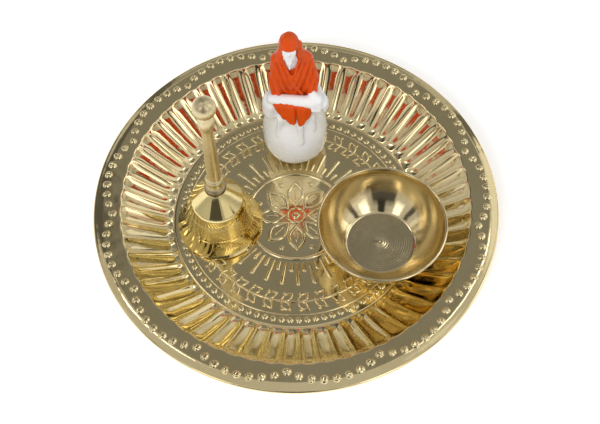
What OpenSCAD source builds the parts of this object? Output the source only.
// Puja thali: a pressed brass dish that carries a small spun bowl, a hand bell with a
// hanging clapper and a glazed seated figure. Millimetres, +Z up. The origin is at the
// middle of the dish, on the surface that it stands on. The viewer's side is -Y.

/* [Dish] */
// Outer radius of the dish, over its rolled edge
plate_r = 100; // [85:1:120]
// Width of the rim, from the fluted wall to the outer edge
rim_w = 13.7; // [13:0.1:17]
// Width of the fluted wall, seen from above
wall_w = 24.7; // [18.5:0.1:31]
// Height of the rim above the floor's surface
rim_h = 15.3; // [10:0.5:24]
// Thickness of the brass sheet
sheet_t = 0.8; // [0.6:0.05:1.2]
// Radius of the rolled outer edge
roll_r = 1; // [0.8:0.1:1.4]
// Width of the sloping lip inside the rolled edge
lip_w = 3.4; // [2:0.1:4]
// How far the lip drops towards the rolled edge
lip_drop = 0.85; // [0.3:0.05:1]

/* [Flutes] */
// Number of flutes round the wall
flute_count = 60; // [40:1:72]
// Depth of a flute between its ridges
flute_depth = 0.95; // [0.6:0.05:1.8]
// How far a flute's round end runs into the rim
flute_wave = 0.7; // [0.3:0.1:1]
// Radial width of the turn at the foot of the wall
foot_turn = 2; // [1:0.5:3]

/* [Bead garland on the rim] */
// Number of scallops in the garland
scallop_count = 13; // [9:1:16]
// Beads along one scallop
scallop_beads = 8; // [6:1:9]
// How far a scallop's ends lie inside its crest
scallop_depth = 4.8; // [2:0.1:5.5]
// Space between the outer edge and the middle of the outermost beads
garland_edge = 5; // [4.6:0.1:6]
// Radius of a garland bead where it leaves the rim
bead_r = 2.05; // [1.4:0.05:2.4]
// Height of a garland bead
bead_h = 0.85; // [0.6:0.05:1.3]
// Turn of the garland about the middle, in degrees
garland_turn = 17; // [0:1:27]

/* [Floor embossing] */
// Number of small beads round the floor
floor_beads = 88; // [60:2:90]
// Radius of a small bead where it leaves the floor
floor_bead_r = 1.65; // [0.8:0.05:1.9]
// Space between the small beads and the edge of the floor
floor_bead_edge = 2.2; // [0.5:0.1:3]
// Height of the embossing on the floor
emboss_h = 0.55; // [0.3:0.05:0.8]
// Radius of the round moulding in the middle
medal_r = 24.7; // [20:0.5:28]
// Width of that moulding
medal_w = 1.8; // [1.2:0.1:2.5]
// Number of long rays, with a short ray between each two
ray_count = 30; // [20:1:36]
// Width of a ray at its inner end
ray_in_w = 1.4; // [0.8:0.1:1.8]
// Width of a ray at its outer end
ray_out_w = 2.3; // [1:0.1:2.6]
// Length of a long ray
ray_long = 12.7; // [9:0.1:14]
// Length of a short ray
ray_short = 5.4; // [3:0.1:7]
// Space between the moulding and the rays
ray_gap = 1.3; // [0.8:0.1:2.5]
// Turn of the rays about the middle, in degrees
ray_turn = 6.4; // [0:0.1:12]
// Space between the edge of the floor and the leaf garland's stem
wreath_edge = 13.6; // [10:0.1:15]
// Number of leaf pairs in the garland
wreath_leaves = 36; // [24:1:48]
// Length of a leaf
leaf_l = 6.6; // [4:0.2:7]
// Width of a leaf
leaf_w = 3.3; // [1.6:0.1:3.6]
// Number of petals of the middle flower
petal_count = 8; // [6:1:10]
// Length of a petal
petal_l = 13; // [9:0.5:15]
// Width of a petal
petal_w = 7.4; // [5:0.1:8]
// Radius of a bud between two petals
bud_r = 1.4; // [0.8:0.1:1.8]
// Width of an embossed line
line_w = 1.2; // [0.6:0.1:1.4]

/* [Bowl] */
// Outer radius of the bowl's rim
bowl_r = 31.4; // [26:0.2:34]
// Height of the bowl
bowl_h = 20.4; // [15:0.2:26]
// Radius of the flat that the bowl stands on
bowl_foot_r = 16.4; // [12:0.2:18]
// Thickness of the bowl's wall
bowl_wall = 0.9; // [0.6:0.05:1.5]
// Thickness of the bowl's bottom
bowl_floor_t = 1.2; // [0.8:0.1:2]
// Radius of the bead along the bowl's lip
bowl_lip_r = 0.7; // [0.5:0.05:1]
// Radius of the turned pip in the middle of the bowl
pip_r = 1.2; // [0.8:0.1:2]
// Space between the bowl's foot and the edge of the dish's floor
bowl_edge_gap = 0.3; // [0.2:0.1:4]
// Direction of the bowl from the dish's middle
bowl_az = -22.8; // [-30:0.1:-16]

/* [Bell] */
// Radius of the bell's mouth
bell_r = 21.3; // [18:0.1:23]
// Height of the bell without its handle
bell_h = 33.4; // [28:0.2:40]
// Thickness of the bell's wall
bell_wall = 1.6; // [1.2:0.1:2.2]
// Thickness of the bell's crown
crown_t = 2; // [1.5:0.1:3]
// Radius of the turned line where the lip begins to flare
waist_r = 16.4; // [14:0.1:18]
// Height of that line
waist_h = 9.3; // [7:0.1:12]
// Number of turned ridges above the line
ridge_count = 6; // [3:1:7]
// Radius of one ridge
ridge_r = 0.4; // [0.25:0.05:0.6]
// Space between the bell's mouth and the edge of the dish's floor
bell_edge_gap = 2; // [0.5:0.1:6]
// Direction of the bell from the dish's middle
bell_az = 184.6; // [178:0.1:190]

/* [Bell handle] */
// Radius of the handle's flange on the crown
flange_r = 5.3; // [4.5:0.1:6]
// Height of the handle above the crown
handle_h = 71.1; // [60:0.5:80]
// Radius of the knob on top
knob_r = 5.4; // [4.5:0.1:6.5]
// Radius of the handle's stem at its lower end
stem_r = 3.2; // [2.7:0.1:3.8]
// Radius of the stud that goes through the crown
stud_r = 2; // [1.5:0.1:2.2]
// Clearance round the stud and the clapper's rod
fit_gap = 0.05; // [0.03:0.01:0.1]

/* [Clapper] */
// Radius of the bob
bob_r = 4.2; // [3.5:0.1:4.6]
// Height of the bob's middle above the mouth
bob_z = 5.6; // [5.3:0.1:6.5]
// Radius of the clapper's rod
rod_r = 0.8; // [0.6:0.05:1]
// Radius of the wire of the eye and of the rod's loop
wire_r = 0.6; // [0.5:0.05:0.7]
// Radius of the eye and of the loop, at the middle of the wire
loop_r = 2.2; // [2:0.05:2.6]
// Clearance between the eye and the loop
loop_gap = 0.3; // [0.2:0.05:0.4]
// Radius of the nut that carries the eye
nut_r = 3.6; // [3:0.1:4]
// Height of that nut
nut_h = 3.4; // [2.6:0.1:4.5]

/* [Seated figure] */
// Height of the figure
figure_h = 90; // [78:1:98]
// Widest radius of the rounded seat
seat_r = 16.4; // [14:0.2:17]
// Height of the rounded seat
seat_h = 45; // [40:0.5:48]
// Half the width of the shoulders
shoulder_r = 10.8; // [9:0.1:12]
// Half the width of the head
head_r = 4.4; // [3.8:0.1:4.8]
// Space between the seat, at its widest, and the edge of the dish's floor
figure_edge_gap = 2.6; // [0.5:0.1:5]
// Direction of the figure from the dish's middle
figure_az = 89.2; // [84:0.1:96]

/* [Hidden] */
$fn = 96;
// Gap between the embossing and what stands on it
seat_gap = 0.2;
// Overrun of every cut
over = 1;
rim_in_r = plate_r - rim_w;
floor_r = rim_in_r - wall_w;
floor_z = sheet_t;
seat_z = floor_z + emboss_h + seat_gap;
rim_z = floor_z + rim_h;
brass = [0.83, 0.68, 0.33];
bright_brass = [0.88, 0.74, 0.36];
old_brass = [0.7, 0.56, 0.3];
white_glaze = [0.94, 0.93, 0.9];
orange_glaze = [0.88, 0.32, 0.06];

// A smooth curve from a to d that leaves towards b and arrives from c
function bezier_at(a, b, c, d, t) = let (s = 1 - t)
    s * s * s * a + 3 * s * s * t * b + 3 * s * t * t * c + t * t * t * d;

// Points on the dish
function on_dish(dist, az) = [dist * cos(az), dist * sin(az), seat_z];
bowl_at = on_dish(floor_r - bowl_foot_r - bowl_edge_gap, bowl_az);
bell_at = on_dish(floor_r - bell_r - bell_edge_gap, bell_az);
figure_at = on_dish(floor_r - seat_r - figure_edge_gap, figure_az);

// The dish's fluted wall, as rings of points on its upper face
wall_seg = 4;
wall_n = flute_count * wall_seg;
wall_run = rim_in_r - floor_r;
wall_tuck = sheet_t;
wall_bow_share = 1.25;
// Rings between the turn at the foot and the rim: share of the run, share of the flute's depth
wall_ring_shares = [[0.4, 1], [0.93, 0.8]];
// Share of the full flute depth at an angle: nought on a ridge, one in the trough
function trough(i) = abs(sin(180 * i / wall_seg));
function wall_z(share) = floor_z + rim_h * pow(share, wall_bow_share);
function ring_pts(dist, wave, z, dip) = [for (i = [0 : wall_n - 1])
    let (a = 360 * i / wall_n, r = dist + wave * trough(i))
    [r * cos(a), r * sin(a), z - dip * trough(i)]];
wall_upper = [
    ring_pts(floor_r - wall_tuck / 2, 0, floor_z - sheet_t / 4, 0),
    ring_pts(floor_r + foot_turn, 0, wall_z(foot_turn / wall_run), flute_depth / 3),
    for (s = wall_ring_shares) ring_pts(floor_r + s[0] * wall_run, 0, wall_z(s[0]), s[1] * flute_depth),
    ring_pts(rim_in_r, flute_wave, rim_z, 0),
    ring_pts(rim_in_r + flute_wave + wall_tuck * 1.1, 0, rim_z - sheet_t / 5, 0)
];
// How far the lower face lies under each ring, in shares of the sheet's thickness
wall_drop_shares = [0.5, 1, 1, 1, 1.1, 0.6];
wall_rings = len(wall_upper);

module fluted_wall() {
    lower = [for (k = [0 : wall_rings - 1])
        [for (p = wall_upper[k]) p - [0, 0, wall_drop_shares[k] * sheet_t]]];
    // Rings run outward on the upper face and back inward on the lower one
    loop = concat(wall_upper, [for (k = [wall_rings - 1 : -1 : 0]) lower[k]]);
    rows = len(loop);
    pts = [for (row = loop) for (p = row) p];
    faces = [for (k = [0 : rows - 1]) for (i = [0 : wall_n - 1])
        let (a = k * wall_n + i, b = k * wall_n + (i + 1) % wall_n,
             c = ((k + 1) % rows) * wall_n + (i + 1) % wall_n, d = ((k + 1) % rows) * wall_n + i)
        each [[a, b, c], [a, c, d]]];
    polyhedron(pts, faces, convexity = 8);
}

// A flat-topped bead of foot radius r and height h, rooted in a sheet whose face is at z
bead_dome_share = 1.6;
module bead(r, h, z) {
    dome_h = bead_dome_share * h;
    ball_r = (r * r + dome_h * dome_h) / (2 * dome_h);
    root = h / 2;
    intersection() {
        translate([0, 0, z + dome_h - ball_r]) sphere(ball_r);
        translate([-ball_r, -ball_r, z - root]) cube([2 * ball_r, 2 * ball_r, h + root]);
    }
}

crest_r = plate_r - garland_edge;
module garland() {
    step = 360 / (scallop_count * scallop_beads);
    for (s = [0 : scallop_count - 1]) for (b = [0 : scallop_beads - 1]) {
        share = b / scallop_beads;
        dist = crest_r - scallop_depth * pow(abs(2 * share - 1), 2);
        rotate(garland_turn + (s * scallop_beads + b) * step)
            translate([dist, 0, 0]) bead(bead_r, bead_h, rim_z);
    }
}

floor_bead_at = floor_r - floor_bead_edge - floor_bead_r;
module floor_bead_ring() {
    for (i = [0 : floor_beads - 1])
        rotate(360 * i / floor_beads) translate([floor_bead_at, 0, 0]) bead(floor_bead_r, emboss_h, floor_z);
}

// A ring of radius r and width w
module ring_line(r, w) {
    difference() {
        circle(r + w / 2);
        circle(r - w / 2);
    }
}

// A ray from start that widens outward, with round ends
module ray(start, length) {
    in_r = ray_in_w / 2;
    out_r = ray_out_w / 2;
    from = start + in_r;
    to = start + length - out_r;
    translate([from, 0]) circle(in_r);
    translate([to, 0]) circle(out_r);
    polygon([[from, -in_r], [to, -out_r], [to, out_r], [from, in_r]]);
}

// A pointed leaf that starts at the origin and runs along +X
module leaf(length, width) {
    arc_r = (length * length / 4 + width * width / 4) / width;
    intersection() {
        translate([length / 2, arc_r - width / 2]) circle(arc_r);
        translate([length / 2, width / 2 - arc_r]) circle(arc_r);
    }
}

leaf_angle = 40;
wreath_r = floor_r - wreath_edge;
module wreath() {
    ring_line(wreath_r, line_w);
    for (i = [0 : wreath_leaves - 1]) rotate(360 * i / wreath_leaves) for (side = [0, 1])
        translate([wreath_r, 0]) rotate(90) mirror([0, side]) rotate(leaf_angle) leaf(leaf_l, leaf_w);
}

bud_share = 0.8;
module flower() {
    for (i = [0 : petal_count - 1]) rotate(360 * i / petal_count) {
        translate([medal_r / 4, 0]) difference() {
            leaf(petal_l, petal_w);
            translate([line_w, 0]) leaf(petal_l - 2 * line_w, petal_w - 2 * line_w);
        }
        rotate(180 / petal_count) translate([medal_r * bud_share, 0]) circle(bud_r);
    }
    ring_line(medal_r / 5, line_w);
}

module embossing() {
    ray_at = medal_r + medal_w / 2 + ray_gap;
    for (i = [0 : ray_count - 1]) {
        rotate(ray_turn + 360 * i / ray_count) ray(ray_at, ray_long);
        rotate(ray_turn + 360 * (i + 0.5) / ray_count) ray(ray_at, ray_short);
    }
    ring_line(floor_bead_at - floor_bead_r - line_w * 2 / 3, line_w * 2 / 3);
    wreath();
    flower();
}

// The round moulding in the middle of the floor, as high as the rest of the embossing
module medal_profile() {
    ball_r = (medal_w * medal_w / 4 + emboss_h * emboss_h) / (2 * emboss_h);
    intersection() {
        translate([medal_r, floor_z + emboss_h - ball_r]) circle(ball_r);
        translate([medal_r - medal_w, floor_z / 2]) square([2 * medal_w, medal_w]);
    }
}

// The flat rim, the lip that slopes down from it, and the rolled edge
module rim_profile() {
    inner_r = rim_in_r + flute_wave + wall_tuck * 0.6;
    edge_r = plate_r - roll_r;
    lip_at = edge_r - lip_w;
    lip_z = rim_z - lip_drop;
    polygon([[inner_r, rim_z], [lip_at, rim_z], [edge_r, lip_z], [edge_r, lip_z - sheet_t],
        [lip_at, rim_z - sheet_t], [inner_r, rim_z - sheet_t]]);
    translate([edge_r, lip_z - roll_r]) circle(roll_r);
}

module rim() {
    rotate_extrude() rim_profile();
    garland();
}

module dish_floor() {
    cylinder(h = sheet_t, r = floor_r);
    floor_bead_ring();
    rotate_extrude() medal_profile();
    translate([0, 0, floor_z / 2]) linear_extrude(floor_z / 2 + emboss_h) embossing();
}

module plate() {
    color(brass) {
        dish_floor();
        fluted_wall();
        rim();
    }
}
plate();

// Bowl: a shallow part of a ball with a flat foot, spun from thin sheet
bowl_ball_z = (bowl_r * bowl_r + bowl_h * bowl_h - bowl_foot_r * bowl_foot_r) / (2 * bowl_h);
bowl_ball_r = norm([bowl_foot_r, bowl_ball_z]);
function on_ball(r, z) = [sqrt(r * r - pow(z - bowl_ball_z, 2)), z];
bowl_steps = 24;
module bowl_profile() {
    inner_r = bowl_ball_r - bowl_wall;
    outer_pts = [for (i = [0 : bowl_steps]) on_ball(bowl_ball_r, bowl_h * i / bowl_steps)];
    inner_pts = [for (i = [bowl_steps : -1 : 0])
        on_ball(inner_r, bowl_floor_t + (bowl_h - bowl_floor_t) * i / bowl_steps)];
    polygon(concat([[0, 0]], outer_pts, inner_pts, [[0, bowl_floor_t]]));
    translate([bowl_r - bowl_wall / 2, bowl_h]) circle(bowl_lip_r);
}

module bowl() {
    color(brass) translate(bowl_at) {
        rotate_extrude() bowl_profile();
        translate([0, 0, bowl_floor_t]) bead(pip_r, pip_r / 3, 0);
    }
}
bowl();

// Bell: the lip flares out below the turned line, the dome closes to a flat crown above
crown_r = flange_r + fit_gap;
lip_curve = [[bell_r, 0], [bell_r - (bell_r - waist_r) / 3, waist_h / 6],
    [waist_r + (bell_r - waist_r) / 4, waist_h * 3 / 5], [waist_r, waist_h]];
dome_curve = [[waist_r, waist_h], [waist_r - (waist_r - crown_r) / 3, waist_h + (bell_h - waist_h) / 3],
    [crown_r + (waist_r - crown_r) / 2.6, bell_h - (bell_h - waist_h) / 5], [crown_r, bell_h]];
bell_steps = 10;
lip_edge = bell_wall / 4;
ridge_share = 0.42;
function curve_at(c, t) = bezier_at(c[0], c[1], c[2], c[3], t);
lip_pts = [for (i = [0 : bell_steps]) curve_at(lip_curve, i / bell_steps)];
dome_pts = [for (i = [1 : bell_steps]) curve_at(dome_curve, i / bell_steps)];

// The outside, down to a mouth that is flat underneath and eased at its outer edge
module bell_profile() {
    eased_pts = [for (p = lip_pts) p + [0, lip_edge * (1 - p[1] / waist_h)]];
    polygon(concat([[0, 0], [bell_r - lip_edge, 0]], eased_pts, dome_pts, [[0, bell_h]]));
}

// The hollow follows the outside, one wall further in
module bell_hollow_profile() {
    wall_pts = [for (p = concat(lip_pts, dome_pts)) [max(0, p[0] - bell_wall), min(p[1], bell_h - crown_t)]];
    polygon(concat([[0, -over], [bell_r - bell_wall, -over]], wall_pts, [[0, bell_h - crown_t]]));
}

module bell_body() {
    color(bright_brass) translate(bell_at) difference() {
        union() {
            rotate_extrude() difference() {
                bell_profile();
                bell_hollow_profile();
            }
            for (i = [0 : ridge_count - 1]) let (p = curve_at(dome_curve, ridge_share * i / ridge_count))
                translate([0, 0, p[1]]) rotate_extrude() translate([p[0] - ridge_r / 3, 0]) circle(ridge_r);
        }
        translate([0, 0, bell_h - crown_t - over]) cylinder(h = crown_t + 2 * over, r = stud_r + fit_gap);
    }
}
bell_body();

// Handle: one turned piece, written as shares of its height above the crown and in
// shares of the flange, stem or knob radius
knob_steps = 18;
// The knob's outline runs from its neck to just short of its top, in degrees
knob_neck_turn = -60;
knob_top_turn = 88;
module handle_profile() {
    foot_shares = [[1, 0], [1, 0.022], [0.93, 0.034], [0.72, 0.05], [0.66, 0.075], [0.67, 0.098],
        [0.8, 0.106], [0.8, 0.122], [0.66, 0.132]];
    stem_shares = [[1, 0.15], [1.02, 0.3], [0.93, 0.5], [0.85, 0.62], [0.84, 0.7], [0.95, 0.722],
        [1.18, 0.752], [1.22, 0.78], [1.12, 0.808], [0.88, 0.832], [0.82, 0.848]];
    knob_mid = handle_h - knob_r;
    knob_pts = [for (i = [0 : knob_steps])
        let (a = knob_neck_turn + (knob_top_turn - knob_neck_turn) * i / knob_steps)
        [knob_r * cos(a), knob_mid + knob_r * sin(a)]];
    polygon(concat([[0, 0]], [for (p = foot_shares) [p[0] * flange_r, p[1] * handle_h]],
        [for (p = stem_shares) [p[0] * stem_r, p[1] * handle_h]], knob_pts, [[0, handle_h]]));
}

stud_l = crown_t + nut_h * 2 / 3;
module bell_handle() {
    color(old_brass) translate(bell_at + [0, 0, bell_h]) {
        rotate_extrude() handle_profile();
        translate([0, 0, -stud_l]) cylinder(h = stud_l + over, r = stud_r);
    }
}
bell_handle();

// The eye's nut screws onto the stud inside the crown; the clapper's loop hangs in the eye
nut_top = bell_h - crown_t;
eye_z = nut_top - nut_h - loop_r + wire_r / 2;
pivot_z = eye_z - loop_r;
loop_z = pivot_z + 2 * wire_r + loop_gap - loop_r;
module clapper_eye() {
    color(old_brass) translate(bell_at) {
        difference() {
            translate([0, 0, nut_top - nut_h]) cylinder(h = nut_h, r = nut_r, $fn = 6);
            translate([0, 0, nut_top - nut_h * 3 / 4]) cylinder(h = nut_h, r = stud_r + fit_gap);
        }
        translate([0, 0, eye_z]) rotate([90, 0, 0]) rotate_extrude() translate([loop_r, 0]) circle(wire_r);
    }
}
clapper_eye();

rivet_h = rod_r;
rivet_r = rod_r * 1.7;
bob_base = bob_z - sqrt(bob_r * bob_r - rivet_r * rivet_r);
rod_base = bob_base - rivet_h / 2;
module clapper_rod() {
    color(old_brass) translate(bell_at) {
        translate([0, 0, loop_z]) rotate([90, 0, 90]) rotate_extrude() translate([loop_r, 0]) circle(wire_r);
        translate([0, 0, rod_base]) cylinder(h = loop_z - loop_r - rod_base, r = rod_r);
        translate([0, 0, bob_base - rivet_h]) cylinder(h = rivet_h - fit_gap, r = rivet_r);
    }
}
clapper_rod();

module clapper_bob() {
    color(brass) translate(bell_at + [0, 0, bob_z]) difference() {
        sphere(bob_r);
        translate([0, 0, -bob_r - over]) cylinder(h = 2 * (bob_r + over), r = rod_r + fit_gap);
        // The flat that the rod's rivet bears on
        translate([0, 0, bob_base - bob_z - 2 * over]) cylinder(h = 2 * over, r = bob_r);
    }
}
clapper_bob();

// Seated figure: one casting of lofted and rounded forms. Forms are placed in shares of
// the shoulder's half width across, and of the figure's height upward.
figure_fn = 18;
sw = shoulder_r;
fh = figure_h;
function at(x, y, z) = [x * sw, y * sw, z * fh];

// A closed loft through level ellipses; a row is middle x, middle y, height, radius x, radius y
module loft(rows, sides) {
    count = len(rows);
    pts = [for (row = rows) for (i = [0 : sides - 1]) let (a = 360 * i / sides)
        [row[0] + row[3] * cos(a), row[1] + row[4] * sin(a), row[2]]];
    walls = [for (k = [0 : count - 2]) for (i = [0 : sides - 1])
        let (a = k * sides + i, b = k * sides + (i + 1) % sides)
        each [[a, b + sides, b], [a, a + sides, b + sides]]];
    bottom = [[for (i = [0 : sides - 1]) i]];
    top = [[for (i = [sides - 1 : -1 : 0]) (count - 1) * sides + i]];
    polyhedron(pts, concat(walls, bottom, top), convexity = 4);
}

// A rounded limb from one ball to another
module limb(a, ra, b, rb) {
    hull() {
        translate(a) sphere(ra, $fn = figure_fn);
        translate(b) sphere(rb, $fn = figure_fn);
    }
}

seat_sides = 28;
module seat() {
    // Share of the radius, share of the height
    shares = [[0.64, 0], [0.79, 0.03], [0.92, 0.11], [0.99, 0.26], [1, 0.42], [0.97, 0.62], [0.9, 0.8],
        [0.8, 0.92], [0.62, 1], [0.4, 1.03]];
    rows = [for (p = shares) [0, 0, p[1] * seat_h, p[0] * seat_r, p[0] * seat_r]];
    color(white_glaze) loft(rows, seat_sides);
}

module crossed_legs() {
    color(white_glaze) {
        limb(at(-1.12, -0.86, 0.552), 0.36 * sw, at(0.78, -1.1, 0.512), 0.31 * sw);
        limb(at(-0.95, 0.1, 0.5), 0.5 * sw, at(-1.12, -0.8, 0.54), 0.36 * sw);
        limb(at(0.9, 0.1, 0.5), 0.5 * sw, at(1.02, -0.75, 0.5), 0.38 * sw);
        limb(at(0.95, -1.05, 0.52), 0.34 * sw, at(1.3, -0.9, 0.49), 0.33 * sw);
        limb(at(1.25, -0.95, 0.48), 0.26 * sw, at(1.42, -1, 0.46), 0.2 * sw);
    }
}

// One lobe of the hanging cloth: two balls along its upper edge and one at its tip
module lobe(left, right, tip) {
    edge_r = 0.19 * sw;
    hull() {
        translate(left) sphere(edge_r, $fn = figure_fn);
        translate(right) sphere(edge_r, $fn = figure_fn);
        translate(tip) sphere(edge_r / 2, $fn = figure_fn);
    }
}

module drape() {
    color(orange_glaze) {
        lobe(at(-0.93, -1.04, 0.525), at(-0.16, -1.22, 0.51), at(-0.09, -1.5, 0.41));
        lobe(at(0.14, -1.26, 0.51), at(0.72, -1.11, 0.49), at(0.26, -1.52, 0.397));
    }
}

torso_sides = 26;
module torso() {
    shares = [[0, 0.1, 0.5, 1.1, 1], [-0.02, 0.08, 0.56, 1.06, 0.95], [-0.05, 0.06, 0.64, 1, 0.85],
        [-0.08, 0.1, 0.71, 0.98, 0.74], [-0.1, 0.14, 0.765, 0.98, 0.63], [-0.11, 0.17, 0.805, 0.86, 0.52],
        [-0.13, 0.18, 0.835, 0.6, 0.4], [-0.15, 0.12, 0.86, 0.36, 0.36], [-0.16, 0.06, 0.885, 0.3, 0.33]];
    left_elbow = at(-0.82, -0.3, 0.63);
    right_elbow = at(0.74, -0.3, 0.625);
    arm_r = 0.35 * sw;
    elbow_r = 0.38 * sw;
    cuff_r = 0.3 * sw;
    edge_r = 0.13 * sw;
    color(orange_glaze) {
        loft([for (p = shares) [p[0] * sw, p[1] * sw, p[2] * fh, p[3] * sw, p[4] * sw]], torso_sides);
        limb(at(-0.74, 0.12, 0.765), arm_r, left_elbow, elbow_r);
        limb(left_elbow, elbow_r, at(-0.5, -0.78, 0.6), cuff_r);
        limb(at(0.58, 0.12, 0.765), arm_r, right_elbow, elbow_r);
        limb(right_elbow, elbow_r, at(0.68, -0.78, 0.595), cuff_r);
        // The crossed edges of the robe
        limb(at(-0.52, -0.17, 0.805), edge_r, at(0.08, -0.58, 0.7), edge_r);
        limb(at(0.08, -0.58, 0.7), edge_r, at(0.5, -0.68, 0.61), edge_r);
        limb(at(0.3, -0.18, 0.805), edge_r, at(0, -0.52, 0.72), edge_r);
    }
    color(white_glaze) limb(at(0.85, -0.98, 0.565), 0.17 * sw, at(1.05, -1.12, 0.545), 0.15 * sw);
}

// The head, with forms placed in shares of its half width about its middle
head_mid = at(-0.2, 0, 0) + [0, 0, figure_h - 1.3 * head_r];
function on_head(x, y, z) = head_mid + head_r * [x, y, z];
module head() {
    color(white_glaze) {
        hull() {
            translate(head_mid) scale([0.84, 0.95, 1.1]) sphere(head_r, $fn = figure_fn);
            translate(on_head(0, -0.33, -0.9)) sphere(head_r / 2, $fn = figure_fn);
        }
        // The beard ends in a point on the chest
        limb(on_head(0, -0.45, -0.9), head_r / 2, on_head(0, -0.8, -2.5), head_r / 5);
        translate(on_head(0, -0.92, -0.28)) scale([0.5, 0.8, 1]) sphere(head_r / 3, $fn = figure_fn);
    }
    color(orange_glaze) {
        hull() {
            translate(on_head(0, 0.125, 0.2)) scale([1, 1, 1.06]) sphere(head_r * 1.04, $fn = figure_fn);
            translate(on_head(0, 0.33, -0.1)) sphere(head_r, $fn = figure_fn);
        }
        // The knot of the scarf and its hanging end
        limb(on_head(0.95, 0.1, 0), head_r / 3, on_head(1.1, 0.25, -0.5), head_r / 4);
        limb(on_head(1, 0.25, -0.4), head_r / 4, on_head(1, 0.33, -1.5), head_r / 3);
    }
}

module figurine() {
    translate(figure_at) {
        seat();
        crossed_legs();
        drape();
        torso();
        head();
    }
}
figurine();
